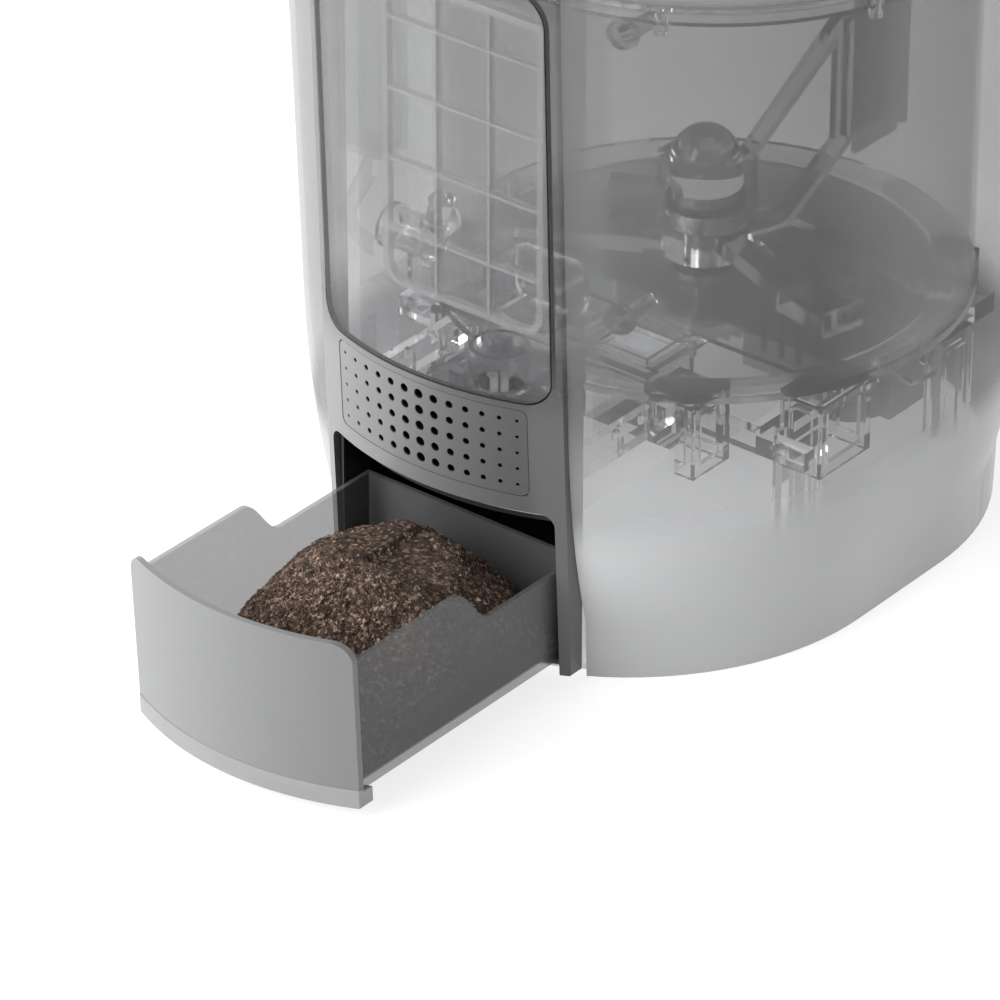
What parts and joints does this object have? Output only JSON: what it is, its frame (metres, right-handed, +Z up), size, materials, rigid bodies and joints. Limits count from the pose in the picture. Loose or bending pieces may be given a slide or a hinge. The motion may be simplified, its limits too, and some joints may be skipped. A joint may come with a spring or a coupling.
{
  "type": "electric food waste composter",
  "caption": "Barrel-shaped electric food waste composter with see-through housing, stirred drum over a gear drive, vented window front, hinged lid and pull-out compost drawer.",
  "frame": {"origin": "on the drum's and agitator's upright axis, at the level of the foot ring's underside", "axes": "+Z up, -Y towards the front with the window and drawer, +X to the right seen from the front; at rest the drawer is pulled out and the lid is shut"},
  "size_m": [0.3252, 0.5297, 0.4325],
  "materials": {
    "housing_smoke": "smoky see-through gloss",
    "front_grey": "fine satin moulding",
    "window_smoke": "smoky see-through gloss",
    "black_rubber": "soft matte",
    "black_plastic": "fine grain",
    "drawer_grey": "satin",
    "lip_pale": "slightly translucent gloss",
    "frame_steel": "plain sheet steel",
    "drum_clear": "clear smoky gloss",
    "polished_steel": "polished",
    "hub_plastic": "gloss",
    "gear_plastic": "moulded acetal",
    "motor_paint": "satin paint",
    "heater_film": "foil",
    "duct_clear": "clear smoky gloss",
    "filter_media": "pleated fleece",
    "wheel_dark": "gloss",
    "board_box": "fine grain",
    "lid_grey": "gloss",
    "liner_grey": "satin",
    "button_pale": "gloss"
  },
  "bodies": {
    "machine": {"outer_shell": "housing_smoke", "base_pan": "black_plastic", "foot_ring": "black_rubber", "front_panel": "front_grey", "window_panel": "window_smoke", "window_seal": "black_rubber", "vent_grille": "front_grey", "drawer_bay": "black_plastic", "drawer_runners": "drawer_grey", "front_rails": "frame_steel", "chassis_frame": "frame_steel", "chassis_legs": "frame_steel", "drum_brackets": "frame_steel", "drum": "drum_clear", "drum_flange": "frame_steel", "drum_top_ring": "drum_clear", "feed_funnel": "drum_clear", "heater_plate": "heater_film", "outlet_collar": "drum_clear", "outlet_chute": "drum_clear", "breaker_pins": "polished_steel", "shaft_seal": "black_rubber", "shaft_bearings": "polished_steel", "gear_plate": "frame_steel", "idler_axle": "polished_steel", "gear_motor": "motor_paint", "filter_housing": "duct_clear", "filter_grid": "duct_clear", "filter_cartridge": "filter_media", "return_duct": "duct_clear", "air_port": "duct_clear", "air_elbow": "duct_clear", "blower_housing": "duct_clear", "blower_duct": "duct_clear", "control_box": "board_box", "power_inlet": "black_plastic", "rear_grille": "front_grey", "top_deck": "lid_grey", "rear_cap": "lid_grey", "control_panel": "black_plastic", "hinge_pins": "polished_steel"},
    "drawer": {"drawer_tray": "drawer_grey", "drawer_front": "drawer_grey", "drawer_lip": "lip_pale"},
    "lid": {"lid": "lid_grey", "lid_liner": "liner_grey"},
    "agitator": {"agitator_shaft": "polished_steel", "agitator_hub": "hub_plastic", "hub_band": "polished_steel", "hub_dome": "hub_plastic", "mixing_arms": "polished_steel", "mixing_blade": "hub_plastic", "drive_gear": "gear_plastic"},
    "idler": {"idler_gear": "gear_plastic"},
    "pinion": {"motor_pinion": "polished_steel"},
    "blower": {"blower_wheel": "wheel_dark"},
    "gate": {"discharge_gate": "frame_steel"},
    "power_key": {"power_button": "button_pale"},
    "mode_key": {"mode_button": "button_pale"},
    "drain_key": {"drain_button": "button_pale"}
  },
  "joints": [
    {"name": "drawer_slide", "type": "slide", "parent": "machine", "child": "drawer", "axis": [0, -1, 0], "range_m": [-0.145, 0]},
    {"name": "lid_hinge", "type": "hinge", "parent": "machine", "child": "lid", "pos_m": [0, 0.13602, 0.416], "axis": [-1, 0, 0], "range_deg": [0, 80]},
    {"name": "agitator_spin", "type": "hinge", "parent": "machine", "child": "agitator", "pos_m": [0, 0, 0.11], "axis": [0, 0, 1], "continuous": true},
    {"name": "idler_spin", "type": "hinge", "parent": "machine", "child": "idler", "pos_m": [0.01607, 0.05998, 0.107], "axis": [0, 0, 1], "continuous": true},
    {"name": "pinion_spin", "type": "hinge", "parent": "machine", "child": "pinion", "pos_m": [0.04984, 0.05524, 0.107], "axis": [0, 0, 1], "continuous": true},
    {"name": "blower_spin", "type": "hinge", "parent": "machine", "child": "blower", "pos_m": [0.008, -0.1685, 0.11], "axis": [0, 0, 1], "continuous": true},
    {"name": "gate_slide", "type": "slide", "parent": "machine", "child": "gate", "axis": [-1, 0, 0], "range_m": [0, 0.04]},
    {"name": "power_press", "type": "slide", "parent": "machine", "child": "power_key", "axis": [0, 0, -1], "range_m": [0, 0.0012], "stiffness_N_per_m": 500},
    {"name": "mode_press", "type": "slide", "parent": "machine", "child": "mode_key", "axis": [0, 0, -1], "range_m": [0, 0.0012], "stiffness_N_per_m": 500},
    {"name": "drain_press", "type": "slide", "parent": "machine", "child": "drain_key", "axis": [0, 0, -1], "range_m": [0, 0.0012], "stiffness_N_per_m": 500}
  ],
  "couplings": [
    {"joint": "idler_spin", "follows": "agitator_spin", "ratio": -1.8182},
    {"joint": "pinion_spin", "follows": "agitator_spin", "ratio": 3.3333}
  ]
}
